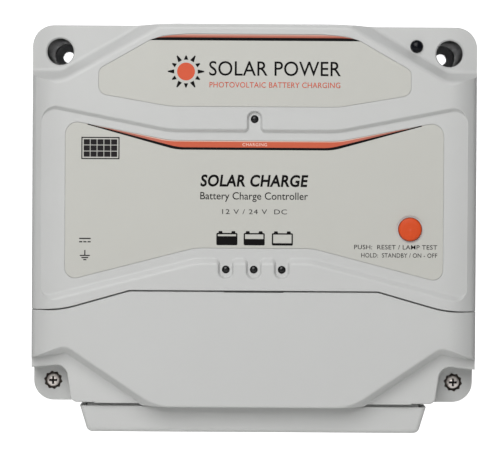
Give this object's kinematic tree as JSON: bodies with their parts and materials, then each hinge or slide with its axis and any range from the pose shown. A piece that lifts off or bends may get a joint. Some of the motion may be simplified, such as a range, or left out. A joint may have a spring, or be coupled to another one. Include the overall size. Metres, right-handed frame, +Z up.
{
  "type": "charge controller",
  "caption": "Wall-mounted solar charge controller: grey finned housing with label panels, indicator windows, push button, lift-off wiring cover with screws, terminals and wire tray.",
  "frame": {"origin": "centre of the rectangle of the four wall screw holes, on the wall plane", "axes": "+X to the right seen from the front, +Y from the front into the wall, +Z up"},
  "size_m": [0.201, 0.068, 0.1851],
  "materials": {
    "aluminium": "die-cast and anodised, satin",
    "housing_plastic": "fine moulded texture, cool light grey",
    "tray_plastic": "fine moulded texture, cool light grey",
    "grommet_rubber": "matt",
    "label_film": "satin polycarbonate film",
    "led_lens": "smoked clear",
    "sensor_black": "epoxy bead",
    "pcb_green": "solder mask",
    "screw_steel": "zinc plated",
    "black_plastic": "moulded",
    "ferrite": "painted powder core",
    "copper": "enamelled and tinned copper alloy",
    "capacitor_sleeve": "shrink sleeve",
    "terminal_plastic": "glass filled nylon",
    "sense_green": "moulded",
    "dip_red": "moulded",
    "slider_white": "moulded",
    "button_orange": "satin moulded"
  },
  "bodies": {
    "chassis": {"heatsink_base": "aluminium", "upper_housing": "housing_plastic", "wire_tray": "tray_plastic", "wire_grommet": "grommet_rubber", "upper_label": "label_film", "lower_label": "label_film", "charging_led": "led_lens", "battery_leds": "led_lens", "temperature_sensor": "sensor_black", "main_pcb": "pcb_green", "pcb_standoffs": "aluminium", "pcb_screws": "screw_steel", "front_board": "pcb_green", "front_board_screws": "screw_steel", "board_link": "black_plastic", "tact_switch": "black_plastic", "inductor_cores": "ferrite", "inductor_windings": "copper", "capacitors": "capacitor_sleeve", "mosfets": "black_plastic", "thermal_pads": "grommet_rubber", "mosfet_clamp": "screw_steel", "clamp_screws": "screw_steel", "control_chips": "black_plastic", "housing_screws": "screw_steel", "tray_screws": "screw_steel", "power_terminal_block": "terminal_plastic", "terminal_tongues": "copper", "sense_terminal_block": "sense_green", "data_jack": "black_plastic", "dip_switch": "dip_red", "ground_lug": "copper"},
    "wiring_cover": {"wiring_cover": "housing_plastic"},
    "cover_screw_left": {"cover_screw_left": "screw_steel"},
    "cover_screw_right": {"cover_screw_right": "screw_steel"},
    "push_button": {"push_button": "button_orange"},
    "ground_screw": {"ground_screw": "screw_steel"},
    "terminal_screw_1": {"terminal_screw_1": "screw_steel"},
    "terminal_cage_1": {"terminal_cage_1": "screw_steel"},
    "terminal_screw_2": {"terminal_screw_2": "screw_steel"},
    "terminal_cage_2": {"terminal_cage_2": "screw_steel"},
    "terminal_screw_3": {"terminal_screw_3": "screw_steel"},
    "terminal_cage_3": {"terminal_cage_3": "screw_steel"},
    "terminal_screw_4": {"terminal_screw_4": "screw_steel"},
    "terminal_cage_4": {"terminal_cage_4": "screw_steel"},
    "terminal_screw_5": {"terminal_screw_5": "screw_steel"},
    "terminal_cage_5": {"terminal_cage_5": "screw_steel"},
    "terminal_screw_6": {"terminal_screw_6": "screw_steel"},
    "terminal_cage_6": {"terminal_cage_6": "screw_steel"},
    "sense_screw_1": {"sense_screw_1": "screw_steel"},
    "sense_screw_2": {"sense_screw_2": "screw_steel"},
    "sense_screw_3": {"sense_screw_3": "screw_steel"},
    "sense_screw_4": {"sense_screw_4": "screw_steel"},
    "dip_slider_1": {"dip_slider_1": "slider_white"},
    "dip_slider_2": {"dip_slider_2": "slider_white"},
    "dip_slider_3": {"dip_slider_3": "slider_white"},
    "dip_slider_4": {"dip_slider_4": "slider_white"}
  },
  "joints": [
    {"name": "cover_lift", "type": "slide", "parent": "chassis", "child": "wiring_cover", "axis": [0, -1, 0], "range_m": [0, 0.09]},
    {"name": "cover_screw_left_turn", "type": "hinge", "parent": "wiring_cover", "child": "cover_screw_left", "pos_m": [-0.0917, -0.046, -0.0863], "axis": [0, -1, 0], "continuous": true},
    {"name": "cover_screw_right_turn", "type": "hinge", "parent": "wiring_cover", "child": "cover_screw_right", "pos_m": [0.0917, -0.046, -0.0863], "axis": [0, -1, 0], "continuous": true},
    {"name": "button_press", "type": "slide", "parent": "chassis", "child": "push_button", "axis": [0, 1, 0], "range_m": [0, 0.0008], "stiffness_N_per_m": 2000},
    {"name": "ground_screw_turn", "type": "hinge", "parent": "chassis", "child": "ground_screw", "pos_m": [-0.084, -0.029, -0.077], "axis": [0, -1, 0], "range_deg": [0, 360]},
    {"name": "terminal_screw_1_turn", "type": "hinge", "parent": "chassis", "child": "terminal_screw_1", "pos_m": [-0.035, -0.05, -0.06575], "axis": [0, 1, 0], "range_deg": [0, 1800]},
    {"name": "terminal_cage_1_rise", "type": "slide", "parent": "chassis", "child": "terminal_cage_1", "axis": [0, -1, 0], "range_m": [0, 0.0045]},
    {"name": "terminal_screw_2_turn", "type": "hinge", "parent": "chassis", "child": "terminal_screw_2", "pos_m": [-0.021, -0.05, -0.06575], "axis": [0, 1, 0], "range_deg": [0, 1800]},
    {"name": "terminal_cage_2_rise", "type": "slide", "parent": "chassis", "child": "terminal_cage_2", "axis": [0, -1, 0], "range_m": [0, 0.0045]},
    {"name": "terminal_screw_3_turn", "type": "hinge", "parent": "chassis", "child": "terminal_screw_3", "pos_m": [-0.007, -0.05, -0.06575], "axis": [0, 1, 0], "range_deg": [0, 1800]},
    {"name": "terminal_cage_3_rise", "type": "slide", "parent": "chassis", "child": "terminal_cage_3", "axis": [0, -1, 0], "range_m": [0, 0.0045]},
    {"name": "terminal_screw_4_turn", "type": "hinge", "parent": "chassis", "child": "terminal_screw_4", "pos_m": [0.007, -0.05, -0.06575], "axis": [0, 1, 0], "range_deg": [0, 1800]},
    {"name": "terminal_cage_4_rise", "type": "slide", "parent": "chassis", "child": "terminal_cage_4", "axis": [0, -1, 0], "range_m": [0, 0.0045]},
    {"name": "terminal_screw_5_turn", "type": "hinge", "parent": "chassis", "child": "terminal_screw_5", "pos_m": [0.021, -0.05, -0.06575], "axis": [0, 1, 0], "range_deg": [0, 1800]},
    {"name": "terminal_cage_5_rise", "type": "slide", "parent": "chassis", "child": "terminal_cage_5", "axis": [0, -1, 0], "range_m": [0, 0.0045]},
    {"name": "terminal_screw_6_turn", "type": "hinge", "parent": "chassis", "child": "terminal_screw_6", "pos_m": [0.035, -0.05, -0.06575], "axis": [0, 1, 0], "range_deg": [0, 1800]},
    {"name": "terminal_cage_6_rise", "type": "slide", "parent": "chassis", "child": "terminal_cage_6", "axis": [0, -1, 0], "range_m": [0, 0.0045]},
    {"name": "sense_screw_1_turn", "type": "hinge", "parent": "chassis", "child": "sense_screw_1", "pos_m": [0.05138, -0.039, -0.069], "axis": [0, 1, 0], "range_deg": [0, 1080]},
    {"name": "sense_screw_2_turn", "type": "hinge", "parent": "chassis", "child": "sense_screw_2", "pos_m": [0.05646, -0.039, -0.069], "axis": [0, 1, 0], "range_deg": [0, 1080]},
    {"name": "sense_screw_3_turn", "type": "hinge", "parent": "chassis", "child": "sense_screw_3", "pos_m": [0.06154, -0.039, -0.069], "axis": [0, 1, 0], "range_deg": [0, 1080]},
    {"name": "sense_screw_4_turn", "type": "hinge", "parent": "chassis", "child": "sense_screw_4", "pos_m": [0.06662, -0.039, -0.069], "axis": [0, 1, 0], "range_deg": [0, 1080]},
    {"name": "dip_slider_1_slide", "type": "slide", "parent": "chassis", "child": "dip_slider_1", "axis": [0, 0, 1], "range_m": [0, 0.0013]},
    {"name": "dip_slider_2_slide", "type": "slide", "parent": "chassis", "child": "dip_slider_2", "axis": [0, 0, 1], "range_m": [0, 0.0013]},
    {"name": "dip_slider_3_slide", "type": "slide", "parent": "chassis", "child": "dip_slider_3", "axis": [0, 0, 1], "range_m": [0, 0.0013]},
    {"name": "dip_slider_4_slide", "type": "slide", "parent": "chassis", "child": "dip_slider_4", "axis": [0, 0, 1], "range_m": [0, 0.0013]}
  ],
  "couplings": [
    {"joint": "terminal_screw_1_turn", "follows": "terminal_cage_1_rise", "rad_per_m": 6981},
    {"joint": "terminal_screw_2_turn", "follows": "terminal_cage_2_rise", "rad_per_m": 6981},
    {"joint": "terminal_screw_3_turn", "follows": "terminal_cage_3_rise", "rad_per_m": 6981},
    {"joint": "terminal_screw_4_turn", "follows": "terminal_cage_4_rise", "rad_per_m": 6981},
    {"joint": "terminal_screw_5_turn", "follows": "terminal_cage_5_rise", "rad_per_m": 6981},
    {"joint": "terminal_screw_6_turn", "follows": "terminal_cage_6_rise", "rad_per_m": 6981}
  ]
}
